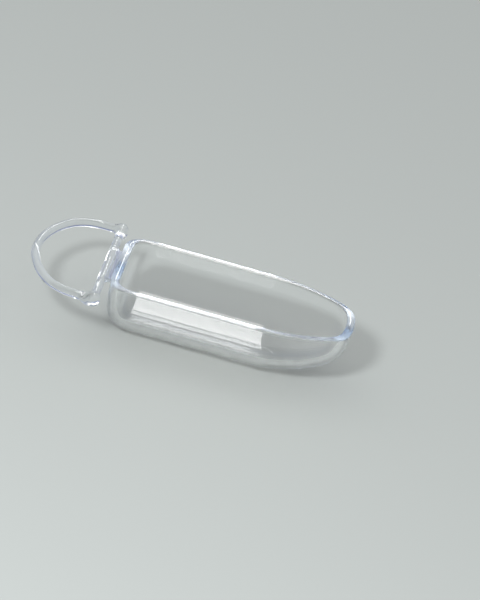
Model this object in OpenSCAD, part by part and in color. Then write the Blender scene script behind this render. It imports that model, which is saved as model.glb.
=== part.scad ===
// Clear glass sample boat: a tube cut lengthwise, closed by a flat end and a
// drawn domed end, with a D-shaped rod handle fused across the flat end.
// +X points to the domed end, +Z is up, and the part rests on its keel flat at z = 0.

/* [Trough] */
// Outside diameter of the tube that the trough is cut from
tube_d = 30; // [25:0.5:40]
// Wall thickness of the trough and of both closed ends
wall = 2; // [1.2:0.1:3]
// Straight length between the two closed ends
straight_len = 29.5; // [8:0.5:60]
// Width of the flat that stops the round keel from rolling
keel_flat_w = 6; // [3:0.5:8]

/* [Flat end] */
// Outside radius of the knuckle round the flat end
knuckle_r = 5.5; // [4:0.25:7]

/* [Domed end] */
// Length of the domed end along the trough
dome_len = 21.5; // [19:0.5:24]
// Outside radius of the long shoulder that leaves the straight wall
shoulder_r = 34; // [29:1:46]
// Outside radius of the tight corner between shoulder and crown
corner_r = 8; // [6:0.25:11]
// Outside radius of the crown at the tip
crown_r = 28; // [22:0.5:36]

/* [Handle] */
// Diameter of the glass rod
rod_d = 2; // [1.4:0.1:3]
// Width of the handle between the centre lines of its legs
handle_w = 38; // [32:0.5:44]
// Reach of the handle's centre line from the flat end
handle_reach = 19; // [17:0.5:28]
// Bend radius of the handle's two corners
bend_r = 9.5; // [6:0.25:11]
// Bend radius of the handle's crown
bow_r = 26; // [22:0.5:32]
// Clear gap between the cross bar and the flat end
bar_gap = 1.2; // [0.6:0.1:2]
// Drop of the rod's centre line below the rim
handle_drop = 1.7; // [1.4:0.1:4]

/* [Fused joints] */
// Diameter of the bead at each corner of the handle
bead_d = 3.4; // [2.8:0.1:5]
// Height of the seam that fuses the cross bar to the flat end
seam_h = 1.4; // [0.8:0.1:1.8]
// Length of flat end left bare beyond each end of the seam
seam_inset = 1; // [0.5:0.25:4]

/* [Hidden] */
$fn = 96;

glass = [0.80, 0.88, 0.90, 0.45];
arc_steps = 8;
bend_steps = 10;
rod_sides = 20;
spare = 1;

tube_r = tube_d / 2;
rod_r = rod_d / 2;
rim_z = sqrt(pow(tube_r, 2) - pow(keel_flat_w / 2, 2));
flat_r = tube_r - knuckle_r;
dome_x = knuckle_r + straight_len;
tip_x = dome_x + dome_len;

handle_z = rim_z - handle_drop;
bar_x = -bar_gap - rod_r;
leg_y = handle_w / 2;
bow_x = bow_r - handle_reach;
bend_y = leg_y - bend_r;
bend_x = bow_x - sqrt(pow(bow_r - bend_r, 2) - pow(bend_y, 2));
bend_angle = atan2(bend_y, bow_x - bend_x);
seam_half = sqrt(pow(flat_r, 2) - pow(handle_drop + seam_h / 2, 2)) - seam_inset;

// The handle's centre line, from the far leg round the bow to the near leg.
loop_stations = concat(
    [[bar_x, leg_y, 180], [bend_x, leg_y, 180]],
    bend([bend_x, bend_y], bend_r, 90, 180 - bend_angle),
    bend([bow_x, 0], bow_r, 180 - bend_angle, 180 + bend_angle),
    bend([bend_x, -bend_y], bend_r, 180 + bend_angle, 270),
    [[bar_x, -leg_y, 360]]);

// The origin lies under the middle of the whole length.
origin_x = (tip_x - handle_reach - rod_r) / 2;

// Centres of the dome's three arcs, as [radius, x] measured from the dome's start.
shoulder_c = [tube_r - shoulder_r, 0];
crown_c = [0, dome_len - crown_r];
centre_gap = norm(crown_c - shoulder_c);
toward_crown = (crown_c - shoulder_c) / centre_gap;
outward = [-toward_crown[1], toward_crown[0]];
along = (pow(shoulder_r - corner_r, 2) - pow(crown_r - corner_r, 2) + pow(centre_gap, 2))
        / (2 * centre_gap);
across = sqrt(pow(shoulder_r - corner_r, 2) - pow(along, 2));
corner_c = shoulder_c + along * toward_crown + across * outward;
shoulder_end = bearing(corner_c - shoulder_c);
corner_end = bearing(corner_c - crown_c);

// Angle of a [radius, x] direction, from 0 across the trough to 90 along it.
function bearing(v) = atan2(v[1], v[0]);

// Points of an arc after its first one, so that arcs which meet share no point.
function arc(centre, r, from, to) =
    [for (i = [1:arc_steps])
        let (a = from + (to - from) * i / arc_steps)
        centre + r * [cos(a), sin(a)]];

// The dome's outline, drawn in by an inset, from the straight wall to the tip.
function dome_outline(inset) = concat(
    [[tube_r - inset, 0]],
    arc(shoulder_c, shoulder_r - inset, 0, shoulder_end),
    arc(corner_c, corner_r - inset, shoulder_end, corner_end),
    arc(crown_c, crown_r - inset, corner_end, 90));

// The flat end's outline, drawn in by an inset, from the axis to the straight wall.
function flat_outline(inset) = concat(
    [[0, inset], [flat_r, inset]],
    arc([flat_r, knuckle_r], knuckle_r - inset, -90, 0));

// Stations [x, y, heading] along a bend about a vertical axis, after its first one.
function bend(centre, r, from, to) =
    [for (i = [1:bend_steps])
        let (a = from + (to - from) * i / bend_steps)
        [centre[0] + r * cos(a), centre[1] + r * sin(a), a + 90]];

// A ring of points round the rod at a station.
function rod_ring(s) =
    [for (k = [0:rod_sides - 1])
        let (t = 360 * k / rod_sides)
        [s[0] + rod_r * cos(t) * sin(s[2]), s[1] - rod_r * cos(t) * cos(s[2]), rod_r * sin(t)]];

function reversed(list) = [for (i = [len(list) - 1:-1:0]) list[i]];

// Half a turn of a wall profile about the tube's axis, below the rim, ground flat at the keel.
module half_shell(profile, start_x) {
    color(glass)
    difference() {
        translate([start_x - origin_x, 0, rim_z])
            rotate([-90, 0, 0])
            rotate([0, 90, 0])
            rotate_extrude(angle = 180)
            polygon(profile);
        translate([-origin_x - spare, -tube_r, -tube_r])
            cube([tip_x + 2 * spare, tube_d, tube_r]);
    }
}

// Places a piece of the handle, whose plane is parallel to the rim.
module at_handle(x, y = 0) {
    translate([x - origin_x, y, handle_z]) children();
}

module half_tube() {
    half_shell([[tube_r - wall, 0], [tube_r, 0], [tube_r, straight_len], [tube_r - wall, straight_len]],
               knuckle_r);
}

module domed_end() {
    half_shell(concat(dome_outline(0), reversed(dome_outline(wall))), dome_x);
}

module end_wall() {
    half_shell(concat(flat_outline(0), reversed(flat_outline(wall))), 0);
}

// The straight rod that crosses the flat end.
module bar_rod() {
    at_handle(bar_x)
        rotate([90, 0, 0])
        cylinder(d = rod_d, h = handle_w + rod_d, center = true);
}

// One straight leg, from the cross bar's centre line to the bend.
module leg_rod(side) {
    at_handle(bend_x, side * leg_y)
        rotate([0, 90, 0])
        cylinder(d = rod_d, h = bar_x - bend_x);
}

module cross_bar() {
    color(glass) bar_rod();
}

// The bent rod, one tube carried along its stations, coped to the cross bar.
module handle_loop() {
    rings = [for (s = loop_stations) rod_ring(s)];
    last = len(rings) - 1;
    sides = [for (i = [0:last - 1], k = [0:rod_sides - 1])
        let (n = (k + 1) % rod_sides)
        [[i * rod_sides + k, (i + 1) * rod_sides + k, (i + 1) * rod_sides + n],
         [i * rod_sides + k, (i + 1) * rod_sides + n, i * rod_sides + n]]];
    start_cap = [for (k = [0:rod_sides - 1]) k];
    end_cap = [for (k = [rod_sides - 1:-1:0]) last * rod_sides + k];
    color(glass)
    difference() {
        at_handle(0)
            polyhedron([for (r = rings) each r],
                       concat([for (pair = sides) each pair], [start_cap, end_cap]));
        bar_rod();
    }
}

// The strip of glass that fills the gap between the cross bar and the flat end.
module bar_seam() {
    color(glass)
    difference() {
        at_handle(bar_x, -seam_half)
            translate([0, 0, -seam_h / 2])
            cube([-bar_x, 2 * seam_half, seam_h]);
        bar_rod();
    }
}

// The bead of glass melted round a corner of the handle.
module bead(side) {
    color(glass)
    difference() {
        at_handle(bar_x, side * leg_y) sphere(d = bead_d);
        bar_rod();
        leg_rod(side);
    }
}

module near_bead() { bead(-1); }

module far_bead() { bead(1); }

half_tube();
domed_end();
end_wall();
bar_seam();
cross_bar();
handle_loop();
near_bead();
far_bead();
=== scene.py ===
"""Looks of a clear glass sample boat: a half-tube trough and a D-shaped rod handle fused to it.

Sizes are millimetres in the maker's frame: x runs from the outer face of the flat end towards
the domed tip, y across the trough and z up from the bench. Meshes are written in metres in the
row frame, whose origin lies under the middle of the whole length.
"""

import logging
import math
from dataclasses import dataclass
from enum import Enum
from typing import Any, ClassVar, Union

import bpy
import numpy as np
from mathutils import Matrix, Vector


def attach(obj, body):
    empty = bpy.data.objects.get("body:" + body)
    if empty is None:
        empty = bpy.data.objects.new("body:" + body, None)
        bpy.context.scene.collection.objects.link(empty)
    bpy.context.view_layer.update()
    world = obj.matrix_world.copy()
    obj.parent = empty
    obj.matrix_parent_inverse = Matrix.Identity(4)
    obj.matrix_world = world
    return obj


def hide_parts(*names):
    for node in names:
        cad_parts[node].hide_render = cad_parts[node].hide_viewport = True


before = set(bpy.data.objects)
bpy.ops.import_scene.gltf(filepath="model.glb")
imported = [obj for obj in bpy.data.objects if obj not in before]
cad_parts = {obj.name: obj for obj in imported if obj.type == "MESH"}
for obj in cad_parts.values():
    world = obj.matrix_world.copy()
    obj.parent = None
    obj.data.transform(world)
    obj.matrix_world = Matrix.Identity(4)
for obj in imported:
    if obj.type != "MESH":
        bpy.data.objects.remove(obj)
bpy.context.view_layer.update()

LOG = logging.getLogger("sample_boat")
MM = 0.001
BODY = "root"
IMAGE_SIZE = (480, 600)

# The row frame's origin, measured from the flat end's outer face.
ORIGIN_X = 18.25
# Enough bounces for light that is guided along inside the wall.
BOUNCES = 256
# Points of a drawn arc before it is resampled.
ARC_POINTS = 400
# Decimals of a millimetre to which points count as one.
MERGE_DIGITS = 5

Colour = tuple[float, float, float]
Point = tuple[float, float, float]
Place = tuple[float, float]
Value = Union["Wire", float, int]


class Slot(str, Enum):
    """The record's material slots."""

    TROUGH = "trough_glass"
    ROD = "rod_glass"


class LampShape(str, Enum):
    """Outlines of the studio lamps."""

    DISK = "DISK"
    PANEL = "RECTANGLE"


class LampRole(Enum):
    """What a studio lamp is there for."""

    LIGHT = "lights the bench and isn't mirrored in the glass"
    CARD = "is mirrored in the glass and lights nothing matt"


class Wire:
    """A shader value that turns Python arithmetic into Math nodes."""

    def __init__(self, desk: "Desk", socket: bpy.types.NodeSocket) -> None:
        """Holds the socket and the desk that adds its nodes."""
        self.desk = desk
        self.socket = socket

    def _math(self, operation: str, a: Value, b: Value) -> "Wire":
        """Adds one Math node for two operands."""
        return self.desk.node("ShaderNodeMath", {"operation": operation}, {0: a, 1: b})

    def __add__(self, other: Value) -> "Wire":
        """Sum."""
        return self._math("ADD", self, other)

    def __radd__(self, other: Value) -> "Wire":
        """Sum with a number on the left."""
        return self._math("ADD", other, self)

    def __mul__(self, other: Value) -> "Wire":
        """Product."""
        return self._math("MULTIPLY", self, other)

    def __rmul__(self, other: Value) -> "Wire":
        """Product with a number on the left."""
        return self._math("MULTIPLY", other, self)


class Desk:
    """The node tree of one material or world, emptied and ready for nodes."""

    def __init__(self, owner: Union[bpy.types.Material, bpy.types.World]) -> None:
        """Clears the owner's tree.

        Args:
            owner: the material or world whose nodes are written.
        """
        owner.use_nodes = True
        self.tree = owner.node_tree
        self.tree.nodes.clear()

    def node(
        self,
        kind: str,
        settings: dict[str, Any] | None = None,
        inputs: dict[str | int, Any] | None = None,
        output: str | int = 0,
    ) -> Wire | None:
        """Adds a node of any type.

        Args:
            kind: the node's type name.
            settings: properties set before the sockets.
            inputs: a number, colour or Wire for each socket, by name or place.
            output: the output that the returned wire carries.

        Returns:
            The chosen output as a Wire, or None for a node without outputs.
        """
        made = self.tree.nodes.new(kind)
        for key, value in (settings or {}).items():
            setattr(made, key, value)
        for key, value in (inputs or {}).items():
            if isinstance(value, Wire):
                self.tree.links.new(value.socket, made.inputs[key])
            else:
                made.inputs[key].default_value = value
        return Wire(self, made.outputs[output]) if made.outputs else None

    def blend(self, factor: Value, a: Any, b: Any) -> Wire:
        """Mixes two colours by a factor.

        Args:
            factor: 0 gives a, 1 gives b.
            a: a colour or Wire.
            b: a colour or Wire.

        Returns:
            The mixed colour.
        """
        return self.node(
            "ShaderNodeMix", {"data_type": "RGBA"}, {"Factor": factor, 6: a, 7: b}, output=2
        )

    def noise(self, place: Wire, scale: float, detail: float) -> Wire:
        """Cloudy noise.

        Args:
            place: the coordinates that it is read at.
            scale: clouds to a metre.
            detail: octaves added to the first.

        Returns:
            A value about a half.
        """
        sockets = {"Vector": place, "Scale": scale, "Detail": detail}
        return self.node("ShaderNodeTexNoise", inputs=sockets)

    def smooth_step(self, value: Wire, low: float, high: float) -> Wire:
        """Rises smoothly from 0 to 1.

        Args:
            value: what is measured.
            low: the value that gives 0.
            high: the value that gives 1.

        Returns:
            The step.
        """
        return self.node(
            "ShaderNodeMapRange",
            {"interpolation_type": "SMOOTHSTEP"},
            {"Value": value, "From Min": low, "From Max": high},
        )


def rgba(colour: Colour) -> tuple[float, float, float, float]:
    """The colour with full opacity."""
    return (*colour, 1.0)


@dataclass(frozen=True)
class GlassFinish:
    """Clear flame-worked glass with draw lines, slow ripples and a trace of haze.

    Colours are linear. The tint of the body shifts slowly to the second tint over the piece,
    as the thickness of worked glass does. The depth colour shows along long paths of light.
    """

    name: str
    tint: Colour
    second_tint: Colour
    ior: float = 1.474
    clear_roughness: float = 0.004
    haze_roughness: float = 0.035
    haze_scale: float = 260.0
    haze_detail: float = 5.0
    haze_from: float = 0.58
    haze_to: float = 0.78
    ripple_scale: float = 90.0
    ripple_detail: float = 1.0
    ripple_height: float = 0.000006
    line_stretch: Point = (0.06, 1.0, 1.0)
    line_scale: float = 900.0
    line_detail: float = 2.0
    line_height: float = 0.0000003
    clear_share: float = 0.993
    depth_colour: Colour = (0.72, 0.82, 0.93)
    depth_density: float = 10.0

    def material(self) -> bpy.types.Material:
        """Builds the material.

        Returns:
            A Principled glass whose tint, roughness and relief vary over the surface.
        """
        made = bpy.data.materials.new(self.name)
        desk = Desk(made)
        place = desk.node("ShaderNodeTexCoord", output="Object")
        drawn = desk.node(
            "ShaderNodeMapping", inputs={"Vector": place, "Scale": self.line_stretch}
        )
        drift = desk.noise(place, self.ripple_scale, self.ripple_detail)
        haze = desk.noise(place, self.haze_scale, self.haze_detail)
        lines = desk.noise(drawn, self.line_scale, self.line_detail)
        patches = desk.smooth_step(haze, self.haze_from, self.haze_to)
        height = drift * self.ripple_height + lines * self.line_height
        relief = desk.node(
            "ShaderNodeBump", inputs={"Height": height, "Strength": 1.0, "Distance": 1.0}
        )
        rougher = self.haze_roughness - self.clear_roughness
        shader = desk.node(
            "ShaderNodeBsdfPrincipled",
            inputs={
                "Base Color": desk.blend(drift, rgba(self.tint), rgba(self.second_tint)),
                "Roughness": self.clear_roughness + patches * rougher,
                "Normal": relief,
                "IOR": self.ior,
                "Transmission Weight": self.clear_share,
            },
        )
        body = desk.node(
            "ShaderNodeVolumeAbsorption",
            inputs={"Color": rgba(self.depth_colour), "Density": self.depth_density},
        )
        desk.node("ShaderNodeOutputMaterial", inputs={"Surface": shader, "Volume": body})
        return made


@dataclass(frozen=True)
class FloorFinish:
    """A plain pale matt bench."""

    name: str = "pale_bench"
    colour: Colour = (0.455, 0.475, 0.46)
    roughness: float = 0.9
    gloss: float = 0.1

    def material(self) -> bpy.types.Material:
        """Builds the material.

        Returns:
            A matt Principled surface of one pale colour.
        """
        made = bpy.data.materials.new(self.name)
        desk = Desk(made)
        shader = desk.node(
            "ShaderNodeBsdfPrincipled",
            inputs={
                "Base Color": rgba(self.colour),
                "Roughness": self.roughness,
                "Specular IOR Level": self.gloss,
            },
        )
        desk.node("ShaderNodeOutputMaterial", inputs={"Surface": shader})
        return made


def grid_triangles(rows: int, columns: int) -> np.ndarray:
    """Two triangles for each cell of a grid that closes on itself across its columns.

    Args:
        rows: the number of rows, which don't close.
        columns: the number of columns.

    Returns:
        Vertex numbers, three to a triangle.
    """
    number = np.arange(rows * columns).reshape(rows, columns)
    a, b = number[:-1], np.roll(number, -1, axis=1)[:-1]
    c, d = np.roll(number, -1, axis=1)[1:], number[1:]
    return np.stack([a, b, c, a, c, d], axis=-1).reshape(-1, 3)


def closed_surface(points: np.ndarray) -> tuple[np.ndarray, np.ndarray]:
    """Turns a grid with collapsed first and last rows into a closed, outward surface.

    Points that coincide become one, and triangles that lose a corner are dropped. The signed
    volume, a sixth of the sum of corner triple products, tells whether the faces look outwards.

    Args:
        points: an array of rows, columns and coordinates, in millimetres.

    Returns:
        Vertices and triangles.
    """
    rows, columns, _ = points.shape
    rounded = np.round(points.reshape(-1, 3), MERGE_DIGITS)
    _, first, merged = np.unique(rounded, axis=0, return_index=True, return_inverse=True)
    vertices = points.reshape(-1, 3)[first]
    triangles = merged.reshape(-1)[grid_triangles(rows, columns)]
    a, b, c = triangles.T
    triangles = triangles[(a != b) & (b != c) & (c != a)]
    corners = vertices[triangles]
    volume = np.einsum("ij,ij->", corners[:, 0], np.cross(corners[:, 1], corners[:, 2]))
    return vertices, triangles if volume > 0 else triangles[:, ::-1]


def write_mesh(name: str, vertices: np.ndarray, triangles: np.ndarray) -> bpy.types.Object:
    """Writes arrays into a smooth mesh object at the origin.

    Args:
        name: the piece's name.
        vertices: row-frame points in millimetres.
        triangles: vertex numbers, three to a triangle.

    Returns:
        The linked object.
    """
    mesh = bpy.data.meshes.new(name)
    mesh.vertices.add(len(vertices))
    mesh.vertices.foreach_set("co", (vertices * MM).astype(np.float32).ravel())
    mesh.loops.add(triangles.size)
    mesh.loops.foreach_set("vertex_index", triangles.astype(np.int32).ravel())
    mesh.polygons.add(len(triangles))
    mesh.polygons.foreach_set("loop_start", np.arange(0, triangles.size, 3, dtype=np.int32))
    mesh.polygons.foreach_set("use_smooth", np.ones(len(triangles), dtype=bool))
    mesh.update(calc_edges=True)
    mesh.validate()
    made = bpy.data.objects.new(name, mesh)
    bpy.context.scene.collection.objects.link(made)
    return made


def eased(line: np.ndarray, step: float, reach: float) -> np.ndarray:
    """Rounds off jumps in a line's curvature with a moving bell-shaped mean.

    The bell is cut at three deviations. The line is continued past both ends by a half turn
    about its end points, so the ends stay.

    Args:
        line: points at an even step.
        step: the distance between points.
        reach: the bell's width at one deviation.

    Returns:
        The eased points.
    """
    half = int(3 * reach / step)
    bell = np.exp(-0.5 * (np.arange(-half, half + 1) * step / reach) ** 2)
    bell /= bell.sum()
    head = 2 * line[0] - line[half:0:-1]
    tail = 2 * line[-1] - line[-2 : -half - 2 : -1]
    long = np.concatenate([head, line, tail])
    return np.stack([np.convolve(c, bell, mode="valid") for c in long.T], axis=-1)


def arc(centre: np.ndarray, radius: float, start: float, stop: float) -> np.ndarray:
    """Points of an arc in [x, radius] space; the angle grows from across to along.

    Args:
        centre: the arc's centre as [x, radius].
        radius: the arc's radius.
        start: the first angle in radians, 0 pointing away from the axis.
        stop: the last angle.

    Returns:
        The points, one a row.
    """
    angle = np.linspace(start, stop, ARC_POINTS)
    return centre + radius * np.stack([np.sin(angle), np.cos(angle)], axis=-1)


def even_steps(line: np.ndarray, step: float) -> np.ndarray:
    """Resamples a line at an even step along its length.

    Args:
        line: points, one a row, of which neighbours may coincide.
        step: the distance between the new points.

    Returns:
        The new points, with both ends kept.
    """
    keep = np.concatenate([[True], np.linalg.norm(np.diff(line, axis=0), axis=1) > 1e-9])
    line = line[keep]
    run = np.concatenate([[0.0], np.cumsum(np.linalg.norm(np.diff(line, axis=0), axis=1))])
    at = np.linspace(0.0, run[-1], int(run[-1] / step) + 1)
    return np.stack([np.interp(at, run, c) for c in line.T], axis=-1)


@dataclass(frozen=True)
class Ripples:
    """Slow unevenness of a drawn wall: a standing wave, and a weaker one that winds round it.

    Pitches are radians to a millimetre along the trough and to a radian round it.
    """

    height: float = 0.01
    standing_pitch: Place = (0.34, 2.0)
    standing_phase: Place = (1.3, 0.4)
    winding_pitch: Place = (0.19, 3.0)
    winding_phase: float = -0.5
    winding_share: float = 0.6

    def shift(self, x: np.ndarray, turn: np.ndarray) -> np.ndarray:
        """Half the height times the sum of both waves, less the most that the sum can be.

        Args:
            x: places along the trough.
            turn: angles round the tube's axis.

        Returns:
            Moves along the wall's normal, none of them outwards.
        """
        along, around = self.standing_pitch
        first, second = self.standing_phase
        standing = np.sin(along * x + first) * np.sin(around * turn + second)
        along, around = self.winding_pitch
        winding = np.sin(along * x + self.winding_phase + around * turn)
        share = self.winding_share
        return 0.5 * self.height * (standing + share * winding - 1 - share)


@dataclass
class Trough:
    """The open glass trough, blown and drawn as one wall with a fire-polished rim."""

    tube_r: float = 15.0
    wall: float = 2.0
    straight_len: float = 29.5
    keel_flat_w: float = 6.0
    knuckle_r: float = 5.5
    dome_len: float = 21.5
    shoulder_r: float = 34.0
    corner_r: float = 8.0
    crown_r: float = 28.0
    rim_drop: float = 0.35
    rim_square: float = 2.0
    ease: float = 0.8
    keel_ease: float = 0.12
    ripples: Ripples = Ripples()
    ripple_depth: float = 4.0
    ripple_radius: float = 6.0
    inner_ripple: float = 0.6
    step: float = 0.02
    rows_per_mm: float = 1.4
    rows_per_radian: float = 14.0
    rim_columns: int = 10
    wall_columns: int = 40
    finish: GlassFinish = GlassFinish(
        "trough_glass", (0.988, 0.994, 0.992), (0.995, 0.998, 0.997)
    )

    @property
    def rim_z(self) -> float:
        """Height of the rim, and of the tube's axis, over the keel flat."""
        return math.sqrt(self.tube_r**2 - (self.keel_flat_w / 2) ** 2)

    def mid_wall(self) -> tuple[np.ndarray, np.ndarray]:
        """The middle line of the wall from the flat end's centre to the tip.

        It runs out along the flat end, round the knuckle, along the straight wall and down three
        tangent arcs, shoulder, corner and crown. The corner's centre is where circles about the
        shoulder's and crown's centres, each smaller by the corner's radius, cross.

        Returns:
            Points [x, radius] and their outward normals.
        """
        inset = self.wall / 2
        dome_x = self.knuckle_r + self.straight_len
        flat_r = self.tube_r - self.knuckle_r
        knuckle = np.array([self.knuckle_r, flat_r])
        shoulder = np.array([dome_x, self.tube_r - self.shoulder_r])
        crown = np.array([dome_x + self.dome_len - self.crown_r, 0.0])
        gap = float(np.linalg.norm(crown - shoulder))
        toward = (crown - shoulder) / gap
        outward = np.array([toward[1], -toward[0]])
        outward = outward if outward[0] > 0 else -outward
        reach_s, reach_c = self.shoulder_r - self.corner_r, self.crown_r - self.corner_r
        along = (reach_s**2 - reach_c**2 + gap**2) / (2 * gap)
        corner = shoulder + along * toward + math.sqrt(reach_s**2 - along**2) * outward
        turn_a = math.atan2(*(corner - shoulder))
        turn_b = math.atan2(*(corner - crown))
        line = np.concatenate([
            [[inset, 0.0], [inset, flat_r]],
            arc(knuckle, self.knuckle_r - inset, -math.pi / 2, 0.0),
            arc(shoulder, self.shoulder_r - inset, 0.0, turn_a),
            arc(corner, self.corner_r - inset, turn_a, turn_b),
            arc(crown, self.crown_r - inset, turn_b, math.pi / 2),
        ])
        line = eased(even_steps(line, self.step), self.step, self.ease)
        line[[0, -1], 1] = 0.0
        tangent = np.gradient(line, axis=0)
        tangent /= np.linalg.norm(tangent, axis=1, keepdims=True)
        return line, np.stack([-tangent[:, 1], tangent[:, 0]], axis=-1)

    def stations(self, line: np.ndarray) -> np.ndarray:
        """Picks rows of the mid-wall line: close together at both rims and where it bends.

        Between the rims, the rows to a millimetre are an even number and a share of the bend.

        Args:
            line: the mid-wall line at an even step.

        Returns:
            Fractional row numbers into the line.
        """
        step = float(np.linalg.norm(line[1] - line[0]))
        quarter = np.linspace(0, math.pi / 2, self.rim_columns + 1)
        polish = self.rim_drop * (1 - np.cos(quarter)) / step
        heading = np.unwrap(np.arctan2(*np.gradient(line, axis=0).T))
        bend = np.abs(np.gradient(heading)) / step
        density = self.rows_per_mm + self.rows_per_radian * bend
        index, last = np.arange(len(line)), len(line) - 1
        inner = slice(int(self.rim_drop / step), len(line) - int(self.rim_drop / step))
        total = np.cumsum(density[inner] * step)
        even = np.linspace(total[0], total[-1], int(total[-1]))
        at = np.interp(even, total, index[inner])
        return np.unique(np.concatenate([polish, at, last - polish]))

    def turns(self, r: np.ndarray) -> np.ndarray:
        """Angles round the tube's axis at which each row has its columns, rim to rim.

        The columns of the polished rim sink by the drop times one less a power of a cosine, so
        that they lie evenly on the squared oval. The rest of the wall is shared out evenly.

        Args:
            r: the rows' mid-wall radii, in a column.

        Returns:
            Angles from 0 at one rim to half a turn at the other.
        """
        drop, square = self.rim_drop, self.rim_square
        share = np.linspace(0, 1, self.rim_columns + 1)
        widest = np.arccos((1 - np.minimum(r, drop) / drop) ** (square / 2))
        depth = drop * (1 - np.cos(widest * share) ** (2 / square))
        polish = np.arcsin(np.clip(depth / np.maximum(r, 1e-9), 0, 1))
        polish[[0, -1]] = share * math.pi / 2
        edge = polish[:, -1:]
        down = np.linspace(0, 1, self.wall_columns + 1)[1:]
        quarter = np.concatenate([polish, edge + (math.pi / 2 - edge) * down], axis=1)
        return np.concatenate([quarter, math.pi - quarter[:, -2::-1]], axis=1)

    def surface(self) -> np.ndarray:
        """The whole skin of the trough on one grid, outer wall, rim and inner wall.

        A mid-wall point turned by an angle about the tube's axis is moved along its normal, out
        for the outer wall and in for the inner one. The move is half the wall, and near the rim
        it follows a squared oval down to nothing, so the two walls meet in a polished crest. The
        keel flat is the outer wall's height or nought, whichever is greater, with a soft edge.

        Returns:
            Rows along the mid-wall line, columns round the section, in row-frame millimetres.
        """
        line, normal = self.mid_wall()
        rows, index = self.stations(line), np.arange(len(line))
        x, r = (np.interp(rows, index, c)[:, None] for c in line.T)
        nx, nr = (np.interp(rows, index, c)[:, None] for c in normal.T)
        turn = self.turns(r)
        sink = r * np.sin(turn)
        drop, square = self.rim_drop, self.rim_square
        oval = np.clip(1 - (1 - np.minimum(sink, drop) / drop) ** square, 0, 1)
        thick = self.wall / 2 * oval ** (1 / square)
        fade = np.clip(sink / self.ripple_depth, 0, 1) ** 2 * np.clip(r / self.ripple_radius, 0, 1)
        shift = fade * self.ripples.shift(x, turn)

        def skin(move: np.ndarray) -> np.ndarray:
            """The mid wall moved along its normal.

            Args:
                move: the distance of each point, outwards.

            Returns:
                The moved points in row-frame millimetres.
            """
            radius = r + nr * move
            return np.stack(
                [
                    x + nx * move - ORIGIN_X,
                    radius * np.cos(turn),
                    self.rim_z - radius * np.sin(turn),
                ],
                axis=-1,
            )

        outer, inner = skin(thick + shift), skin(self.inner_ripple * shift - thick)
        height = outer[..., 2]
        lifted = 0.5 * (height + np.sqrt(height**2 + self.keel_ease**2))
        outer[..., 2] = np.minimum(lifted, self.rim_z)
        return np.concatenate([outer, inner[:, -2:0:-1]], axis=1)

    def build(self) -> bpy.types.Object:
        """Makes, dresses and places the trough.

        Returns:
            The finished piece.
        """
        made = write_mesh("trough_wall", *closed_surface(self.surface()))
        made.data.materials.append(self.finish.material())
        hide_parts("half_tube", "domed_end", "end_wall")
        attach(made, BODY)
        return made


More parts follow.
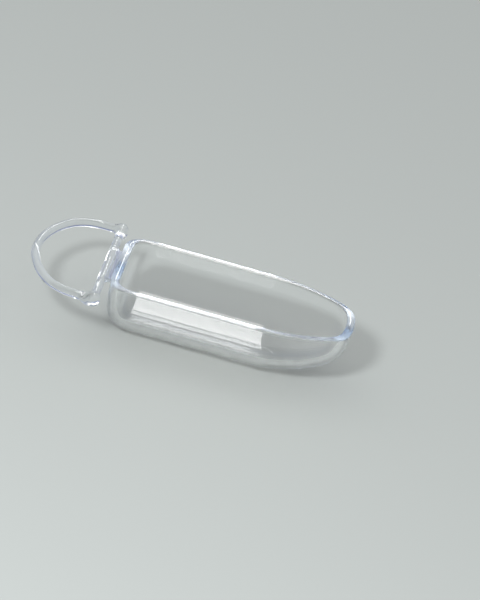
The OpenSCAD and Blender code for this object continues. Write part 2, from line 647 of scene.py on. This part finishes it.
@dataclass
class Handle:
    """The D-shaped rod handle with its cross bar, melted beads and the seam to the flat end."""

    rod_r: float = 1.0
    leg_y: float = 19.0
    reach: float = 19.0
    bend_r: float = 9.5
    bow_r: float = 26.0
    bar_x: float = -2.2
    rod_z: float = 12.997
    seam_half: float = 8.17
    seam_h: float = 0.9
    seam_round: float = 0.4
    seam_clear: float = 0.12
    seam_square: int = 12
    melt: float = 1.1
    uneven: float = 0.03
    uneven_pitch: Point = (0.62, 0.47, 0.5)
    uneven_phase: Place = (0.5, 1.0)
    rod_sides: int = 40
    rod_step: float = 0.1
    cap_rows: int = 12
    bar_rows: int = 200
    bend_rows: int = 200
    bow_rows: int = 600
    seam_rows: int = 121
    drop_rows: int = 49
    drop_sides: int = 64
    voxel: float = 0.13
    smoothing: int = 6
    smooth_share: float = 0.5
    walks: int = 3
    probe: float = 0.01
    least_steep: float = 0.25
    finish: GlassFinish = GlassFinish(
        "rod_glass", (0.95, 0.97, 0.988), (0.97, 0.98, 0.99), line_stretch=(1.0, 1.0, 1.0)
    )

    @property
    def bow_x(self) -> float:
        """Centre of the wide bow, on the middle line."""
        return self.bow_r - self.reach

    @property
    def bend_centre(self) -> Place:
        """Centre of the far bend, which runs into the leg and into the bow without a kink."""
        bend_y = self.leg_y - self.bend_r
        return self.bow_x - math.sqrt((self.bow_r - self.bend_r) ** 2 - bend_y**2), bend_y

    @property
    def sweep(self) -> float:
        """Half the angle that the wide bow turns through."""
        bend_x, bend_y = self.bend_centre
        return math.atan2(bend_y, self.bow_x - bend_x)

    @property
    def drops(self) -> tuple[tuple[Point, Point], ...]:
        """Middles and half sizes of the melted drops at the two ends of the bar."""
        x, z, near, far = self.bar_x, self.rod_z, -self.leg_y, self.leg_y
        return (
            ((x, near, z), (1.45, 1.45, 1.38)),
            ((x - 1.0, near + 0.8, z - 0.9), (1.9, 1.3, 1.4)),
            ((x, far, z), (1.45, 1.45, 1.38)),
            ((x + 0.2, far - 1.6, z - 0.4), (1.1, 1.5, 1.2)),
        )

    def bow_line(self) -> np.ndarray:
        """Centre line of the bent rod: a leg, a bend, the wide bow, a bend and a leg.

        Returns:
            Points [x, y] from the far bead round to the near bead.
        """
        centre = np.array(self.bend_centre)
        bend_a = np.linspace(math.pi / 2, math.pi - self.sweep, self.bend_rows)
        bow_a = np.linspace(math.pi - self.sweep, math.pi + self.sweep, self.bow_rows)
        bend = centre + self.bend_r * np.stack([np.cos(bend_a), np.sin(bend_a)], axis=-1)
        bow = [self.bow_x, 0.0] + self.bow_r * np.stack([np.cos(bow_a), np.sin(bow_a)], axis=-1)
        first = np.concatenate([[[self.bar_x, self.leg_y]], bend])
        return even_steps(np.concatenate([first, bow, first[::-1] * [1.0, -1.0]]), self.rod_step)

    def rod(self, line: np.ndarray) -> np.ndarray:
        """A round rod carried along a level line, with round ends.

        At each station a circle stands across the line; past each end the circle shrinks along
        a quarter of a sphere to a point.

        Args:
            line: stations [x, y].

        Returns:
            The surface grid in row-frame millimetres.
        """
        tangent = np.gradient(line, axis=0)
        tangent /= np.linalg.norm(tangent, axis=1, keepdims=True)
        cap = np.linspace(0, math.pi / 2, self.cap_rows)[1:]
        head = line[0] - np.outer(np.sin(cap) * self.rod_r, tangent[0])
        tail = line[-1] + np.outer(np.sin(cap) * self.rod_r, tangent[-1])
        path = np.concatenate([head[::-1], line, tail])
        size = self.rod_r * np.concatenate([np.cos(cap[::-1]), np.ones(len(line)), np.cos(cap)])
        size[[0, -1]] = 0.0
        lead = np.pad(tangent, ((len(cap), len(cap)), (0, 0)), mode="edge")
        side = np.stack([-lead[:, 1], lead[:, 0]], axis=-1)
        angle = np.linspace(0, 2 * math.pi, self.rod_sides, endpoint=False)
        flat = path[:, None] + (size[:, None] * np.cos(angle))[..., None] * side[:, None]
        rise = self.rod_z + size[:, None] * np.sin(angle)
        return np.concatenate([flat - [ORIGIN_X, 0.0], rise[..., None]], axis=-1)

    def drop(self, centre: Point, radii: Point) -> np.ndarray:
        """A melted drop: an ellipsoid on a grid of latitude and longitude.

        Args:
            centre: its middle in the maker's frame.
            radii: its half sizes.

        Returns:
            The surface grid in row-frame millimetres.
        """
        tilt = np.linspace(0, math.pi, self.drop_rows)[:, None]
        turn = np.linspace(0, 2 * math.pi, self.drop_sides, endpoint=False)
        east, north = np.sin(tilt) * np.cos(turn), np.sin(tilt) * np.sin(turn)
        ball = np.stack([east, north, np.cos(tilt) + 0 * turn], axis=-1)
        ball[[0, -1]] = ball[[0, -1], :1]
        return ball * np.array(radii) + np.array(centre) - [ORIGIN_X, 0.0, 0.0]

    def seam(self) -> np.ndarray:
        """The strip melted between bar and flat end: a bar of square-shouldered oval section.

        The section's half sizes go with the signed root of a cosine and a sine, and with the
        root of what a high power of the place along the strip leaves of one.

        Returns:
            The surface grid in row-frame millimetres.
        """
        along = np.sin(np.linspace(-math.pi / 2, math.pi / 2, self.seam_rows))
        end = np.clip(1 - np.abs(along) ** self.seam_square, 0, 1)[:, None] ** 0.5
        angle = np.linspace(0, 2 * math.pi, self.rod_sides, endpoint=False)
        c, s = np.cos(angle), np.sin(angle)
        middle = 0.5 * (self.bar_x - self.seam_clear)
        half = -0.5 * (self.bar_x + self.seam_clear)
        x = middle + half * end * np.sign(c) * np.abs(c) ** 0.5
        y = np.broadcast_to(self.seam_half * along[:, None], x.shape)
        z = self.rod_z + 0.5 * self.seam_h * end * np.sign(s) * np.abs(s) ** 0.5
        return np.stack([x - ORIGIN_X, y, z], axis=-1)

    def surfaces(self) -> list[np.ndarray]:
        """All the overlapping closed surfaces that are melted into one handle.

        Returns:
            Surface grids of the bow, the bar, the seam and the drops.
        """
        bar_y = np.linspace(-self.leg_y, self.leg_y, self.bar_rows)
        bar = np.stack([np.full_like(bar_y, self.bar_x), bar_y], axis=-1)
        drops = [self.drop(*d) for d in self.drops]
        return [self.rod(self.bow_line()), self.rod(bar), self.seam(), *drops]

    def gap_to_arc(
        self, points: np.ndarray, centre: Place, radius: float, middle: float, half: float
    ) -> np.ndarray:
        """Distance from points to the skin of a rod bent along a level arc.

        The nearest place on the arc has the point's own bearing, held between the arc's ends.

        Args:
            points: places in the maker's frame.
            centre: the arc's centre.
            radius: the arc's radius.
            middle: the bearing of the arc's middle.
            half: half the angle that the arc turns through.

        Returns:
            Distances, negative inside the glass.
        """
        out = points[:, :2] - centre
        bearing = np.arctan2(out[:, 1], out[:, 0]) - middle
        bearing = (bearing + math.pi) % (2 * math.pi) - math.pi
        bearing = middle + np.clip(bearing, -half, half)
        side = out - radius * np.stack([np.cos(bearing), np.sin(bearing)], axis=-1)
        return np.sqrt((side**2).sum(axis=1) + (points[:, 2] - self.rod_z) ** 2) - self.rod_r

    def gap_to_straight(self, points: np.ndarray, low: Place, high: Place) -> np.ndarray:
        """Distance from points to the skin of a straight level rod with round ends.

        The nearest place on its centre line is the point's foot on it, held between the ends.

        Args:
            points: places in the maker's frame.
            low: one end of the centre line.
            high: the other end.

        Returns:
            Distances, negative inside the glass.
        """
        start = np.array([*low, self.rod_z])
        run = np.array([*high, self.rod_z]) - start
        share = np.clip((points - start) @ run / (run @ run), 0, 1)
        return np.linalg.norm(points - start - share[:, None] * run, axis=1) - self.rod_r

    def gap_to_seam(self, points: np.ndarray) -> np.ndarray:
        """Distance from points to the seam, a box with rounded edges.

        The box is drawn in by the rounding, and the distance to it is lessened by as much.

        Args:
            points: places in the maker's frame.

        Returns:
            Distances, negative inside the glass.
        """
        low = np.array([self.bar_x, -self.seam_half, self.rod_z - self.seam_h / 2])
        high = np.array([-self.seam_clear, self.seam_half, self.rod_z + self.seam_h / 2])
        over = np.abs(points - (low + high) / 2) - (high - low) / 2 + self.seam_round
        outside = np.linalg.norm(np.maximum(over, 0), axis=1)
        return outside + np.minimum(over.max(axis=1), 0) - self.seam_round

    def gap(self, points: np.ndarray) -> np.ndarray:
        """Distance from points to the melted skin of the whole handle.

        The least of the distances to the rods, the drops and the seam, where two that are nearly
        equal flow together: the lesser is lowered by the square of what their difference lacks of
        the melt's width, over four times that width. A slow wave in each direction is added.

        Args:
            points: places in the maker's frame.

        Returns:
            Distances, negative inside the glass.
        """
        bend_x, bend_y = self.bend_centre
        near, far = -self.leg_y, self.leg_y
        turn, half = 0.75 * math.pi - self.sweep / 2, math.pi / 4 - self.sweep / 2
        skin = np.minimum.reduce([
            self.gap_to_arc(points, (self.bow_x, 0.0), self.bow_r, math.pi, self.sweep),
            self.gap_to_arc(points, (bend_x, bend_y), self.bend_r, turn, half),
            self.gap_to_arc(points, (bend_x, -bend_y), self.bend_r, -turn, half),
            self.gap_to_straight(points, (bend_x, far), (self.bar_x, far)),
            self.gap_to_straight(points, (bend_x, near), (self.bar_x, near)),
        ])
        others = [
            self.gap_to_straight(points, (self.bar_x, near), (self.bar_x, far)),
            self.gap_to_seam(points),
        ]
        for middle, radii in self.drops:
            others.append((np.linalg.norm((points - middle) / radii, axis=1) - 1) * min(radii))
        for other in others:
            lack = np.maximum(self.melt - np.abs(skin - other), 0)
            skin = np.minimum(skin, other) - lack**2 / (4 * self.melt)
        x, y, z = (points - [0.0, 0.0, self.rod_z]).T
        pitch, phase = self.uneven_pitch, self.uneven_phase
        wave = np.sin(pitch[0] * x + phase[0]) * np.sin(pitch[1] * y + phase[1])
        return skin + self.uneven * wave * np.cos(pitch[2] * z)

    def melted(self, made: bpy.types.Object) -> None:
        """Melts overlapping surfaces into one skin with flowing joins.

        The surfaces are remeshed together, and each point of that mesh then walks down the slope
        of the gap until it lies on the melted skin.

        Args:
            made: the object whose mesh holds the separate closed surfaces.
        """
        remesh = made.modifiers.new("melt", "REMESH")
        remesh.mode = "VOXEL"
        remesh.voxel_size = self.voxel * MM
        remesh.use_smooth_shade = True
        smooth = made.modifiers.new("flow", "SMOOTH")
        smooth.factor = self.smooth_share
        smooth.iterations = self.smoothing
        graph = bpy.context.evaluated_depsgraph_get()
        skin = bpy.data.meshes.new_from_object(made.evaluated_get(graph))
        made.modifiers.clear()
        loose = made.data
        made.data = skin
        bpy.data.meshes.remove(loose)
        points = np.empty(3 * len(skin.vertices), dtype=np.float32)
        skin.vertices.foreach_get("co", points)
        shift = np.array([ORIGIN_X, 0.0, 0.0])
        points = points.reshape(-1, 3).astype(float) / MM + shift
        probes = self.probe * np.eye(3)
        for _ in range(self.walks):
            rises = [self.gap(points + step) - self.gap(points - step) for step in probes]
            slope = np.stack(rises, axis=-1) / (2 * self.probe)
            steep = np.maximum((slope**2).sum(axis=1), self.least_steep)
            points = points - (self.gap(points) / steep)[:, None] * slope
        skin.vertices.foreach_set("co", ((points - shift) * MM).astype(np.float32).ravel())
        skin.update()

    def build(self) -> bpy.types.Object:
        """Makes, melts, dresses and places the handle.

        Returns:
            The finished piece.
        """
        parts = [closed_surface(points) for points in self.surfaces()]
        counts = np.cumsum([0] + [len(v) for v, _ in parts])
        vertices = np.concatenate([v for v, _ in parts])
        triangles = np.concatenate([t + start for (_, t), start in zip(parts, counts)])
        made = write_mesh("rod_handle", vertices, triangles)
        self.melted(made)
        made.data.materials.clear()
        made.data.materials.append(self.finish.material())
        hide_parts("bar_seam", "cross_bar", "handle_loop", "near_bead", "far_bead")
        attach(made, BODY)
        return made


@dataclass(frozen=True)
class Lamp:
    """A soft studio lamp that looks at the boat, with its sizes in metres."""

    CARD_SIDES: ClassVar[Place] = (-0.070, -0.003)
    CARD_COLOUR: ClassVar[Colour] = (1.0, 0.99, 0.985)

    name: str
    shape: LampShape
    direction: Point
    distance: float
    size: Place
    watts: float
    colour: Colour
    role: LampRole

    @classmethod
    def card(cls, name: str, low: float, high: float, radiance: float) -> "Lamp":
        """A narrow upright strip of window behind the boat, a metre away.

        Args:
            name: the lamp's name.
            low: elevation of its lower edge in degrees.
            high: elevation of its upper edge.
            radiance: its brightness, where 1 is white.

        Returns:
            A panel whose edges meet those of the next strip.
        """
        left, right = cls.CARD_SIDES
        middle = math.radians((low + high) / 2)
        size = (right - left, 2 * math.tan(math.radians((high - low) / 2)))
        return cls(
            name=name,
            shape=LampShape.PANEL,
            direction=((left + right) / 2, math.cos(middle), math.sin(middle)),
            distance=1.0,
            size=size,
            watts=radiance * math.pi * size[0] * size[1],
            colour=cls.CARD_COLOUR,
            role=LampRole.CARD,
        )

    def build(self) -> bpy.types.Object:
        """Places the lamp along its direction, turned to the boat, its width along the trough.

        Returns:
            The lamp's object.
        """
        data = bpy.data.lights.new(self.name, "AREA")
        data.shape = self.shape.value
        data.size = self.size[0]
        if self.shape is LampShape.PANEL:
            data.size_y = self.size[1]
        data.energy = self.watts
        data.color = self.colour
        made = bpy.data.objects.new(self.name, data)
        toward = Vector(self.direction).normalized()
        level = (Vector((1.0, 0.0, 0.0)) - toward * toward.x).normalized()
        turn = Matrix((level, toward.cross(level), toward)).transposed().to_4x4()
        made.matrix_world = Matrix.Translation(toward * self.distance) @ turn
        made.visible_camera = False
        made.visible_diffuse = self.role is LampRole.LIGHT
        made.visible_glossy = made.visible_transmission = self.role is LampRole.CARD
        bpy.context.scene.collection.objects.link(made)
        return made


@dataclass
class Stage:
    """The plain bench, the pale room round it and the lamps.

    The room's light goes from near to far by how far a direction points across the trough, and
    from the horizon to the sky by how far it points up.
    """

    floor_half: float = 6.0
    far_horizon: Colour = (0.14, 0.18, 0.35)
    near_horizon: Colour = (0.50, 0.51, 0.50)
    far_sky: Colour = (1.52, 1.53, 1.50)
    near_sky: Colour = (0.62, 0.63, 0.62)
    near_to_far: Place = (-0.5, 0.6)
    horizon_to_sky: Place = (0.05, 0.95)
    floor: FloorFinish = FloorFinish()
    lamps: tuple[Lamp, ...] = (
        Lamp(
            name="key",
            shape=LampShape.DISK,
            direction=(-0.23, -0.77, 0.60),
            distance=0.6,
            size=(0.09, 0.09),
            watts=2.1,
            colour=(0.96, 0.985, 1.0),
            role=LampRole.LIGHT,
        ),
        Lamp.card("low_window", 27.0, 34.0, 7.4),
        Lamp.card("window", 34.0, 60.0, 7.0),
        Lamp.card("ceiling", 60.0, 104.0, 6.0),
    )

    def bench(self) -> None:
        """Makes the flat square floor."""
        half = self.floor_half
        mesh = bpy.data.meshes.new("bench")
        corners = [(-half, -half, 0.0), (half, -half, 0.0), (half, half, 0.0), (-half, half, 0.0)]
        mesh.from_pydata(corners, [], [(0, 1, 2, 3)])
        bench = bpy.data.objects.new("bench", mesh)
        bench.data.materials.append(self.floor.material())
        bpy.context.scene.collection.objects.link(bench)

    def room(self) -> None:
        """Makes the light of the room."""
        world = bpy.data.worlds.new("room")
        bpy.context.scene.world = world
        desk = Desk(world)
        toward = desk.node("ShaderNodeTexCoord", output="Generated")
        across, height = (
            desk.node("ShaderNodeSeparateXYZ", inputs={0: toward}, output=axis) for axis in "YZ"
        )
        far = desk.smooth_step(across, *self.near_to_far)
        rise = desk.smooth_step(height, *self.horizon_to_sky)
        horizon = desk.blend(far, rgba(self.near_horizon), rgba(self.far_horizon))
        sky = desk.blend(far, rgba(self.near_sky), rgba(self.far_sky))
        tone = desk.blend(rise, horizon, sky)
        light = desk.node("ShaderNodeBackground", inputs={"Color": tone, "Strength": 1.0})
        desk.node("ShaderNodeOutputWorld", inputs={"Surface": light})

    def build(self) -> None:
        """Makes the floor, the room's light and the lamps."""
        self.bench()
        self.room()
        for lamp in self.lamps:
            lamp.build()


@dataclass(frozen=True)
class PhotoCamera:
    """A long lens at the photograph's viewing angle, aimed so that no shift is needed."""

    azimuth: float = 1.917
    elevation: float = 26.445
    roll: float = 14.836
    distance: float = 1.0
    pixels_per_mm: float = 4.3206
    aim_right: float = 13.784
    aim_up: float = 8.485
    sensor: float = 36.0
    nearest: float = 0.05
    farthest: float = 50.0

    def build(self) -> bpy.types.Object:
        """Places the camera and makes it the scene's own.

        Returns:
            The camera object.
        """
        a, e, roll = (math.radians(v) for v in (self.azimuth, self.elevation, self.roll))
        back = Vector((math.sin(a) * math.cos(e), -math.cos(a) * math.cos(e), math.sin(e)))
        level = Vector((math.cos(a), math.sin(a), 0.0))
        upright = back.cross(level)
        right = math.cos(roll) * level + math.sin(roll) * upright
        up = math.cos(roll) * upright - math.sin(roll) * level
        data = bpy.data.cameras.new("photo_camera")
        data.sensor_width = self.sensor
        data.lens = self.pixels_per_mm * self.sensor * self.distance / MM / max(IMAGE_SIZE)
        data.clip_start, data.clip_end = self.nearest, self.farthest
        made = bpy.data.objects.new("photo_camera", data)
        turn = Matrix((right, up, back)).transposed().to_4x4()
        place = back * self.distance + (right * self.aim_right + up * self.aim_up) * MM
        made.matrix_world = Matrix.Translation(place) @ turn
        bpy.context.scene.collection.objects.link(made)
        bpy.context.scene.camera = made
        return made


def main() -> None:
    """Builds the stage, the camera and the boat, and reports each piece."""
    logging.basicConfig(level=logging.INFO, format="%(name)s: %(message)s")
    scene = bpy.context.scene
    scene.view_settings.view_transform = "Standard"
    scene.cycles.max_bounces = BOUNCES
    scene.cycles.glossy_bounces = BOUNCES
    scene.cycles.transmission_bounces = BOUNCES
    Stage().build()
    PhotoCamera().build()
    for assembly in (Trough(), Handle()):
        piece = assembly.build()
        triangles = len(piece.data.loops) - 2 * len(piece.data.polygons)
        LOG.info("%s: %d triangles", piece.name, triangles)


if __name__ == "__main__":
    main()
